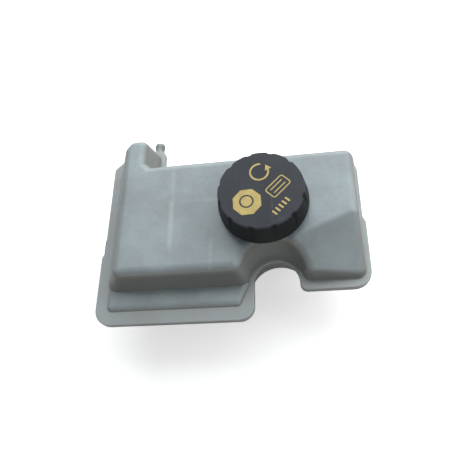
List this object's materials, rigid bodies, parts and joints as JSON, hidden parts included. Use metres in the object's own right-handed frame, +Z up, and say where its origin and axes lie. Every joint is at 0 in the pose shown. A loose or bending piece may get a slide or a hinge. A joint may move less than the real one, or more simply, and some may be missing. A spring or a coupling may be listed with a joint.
{
  "type": "brake fluid reservoir",
  "caption": "Translucent two-shell brake fluid tank with a weld flange, screw filler cap with strainer, level float over a reed sensor, and bottom outlets in rubber grommets.",
  "frame": {"origin": "centre of the first outlet's grommet seat, where the grommet meets the master cylinder's top face", "axes": "+X along the tank towards the second outlet, +Y to the back, +Z up towards the filler cap"},
  "size_m": [0.1971, 0.1531, 0.102],
  "materials": {
    "shell": "milky translucent, moulded",
    "cap": "fine grain, black",
    "insert": "smooth, natural white",
    "seal_rubber": "smooth",
    "strainer": "smooth, natural white",
    "mesh": "woven nylon",
    "float_foam": "closed-cell foam",
    "magnet": "sintered",
    "sensor": "moulded, black",
    "capsule_glass": "clear, green tint",
    "reed_steel": "plated",
    "contact_brass": "stamped",
    "grommet_rubber": "moulded"
  },
  "bodies": {
    "tank": {"upper_shell": "shell", "lower_shell": "shell", "strainer_frame": "strainer", "strainer_mesh": "mesh", "sensor_housing": "sensor", "sensor_seal": "seal_rubber", "reed_capsule": "capsule_glass", "near_reed": "reed_steel", "far_reed": "reed_steel", "left_terminal": "contact_brass", "right_terminal": "contact_brass", "primary_grommet": "grommet_rubber", "secondary_grommet": "grommet_rubber"},
    "seal_pack": {"cap_insert": "insert", "cap_gasket": "seal_rubber", "vent_diaphragm": "seal_rubber"},
    "cap": {"filler_cap": "cap"},
    "float": {"level_float": "float_foam", "float_magnet": "magnet"}
  },
  "joints": [
    {"name": "cap_lift", "type": "slide", "parent": "tank", "child": "seal_pack", "axis": [0, 0, 1], "range_m": [0, 0.0095]},
    {"name": "cap_turn", "type": "hinge", "parent": "seal_pack", "child": "cap", "pos_m": [0.0388, 0, 0.08], "axis": [0, 0, 1], "range_deg": [0, 540]},
    {"name": "float_rise", "type": "slide", "parent": "tank", "child": "float", "axis": [0, 0, 1], "range_m": [0, 0.015]}
  ],
  "couplings": [
    {"joint": "cap_lift", "follows": "cap_turn", "m_per_rad": 0.00095493}
  ]
}
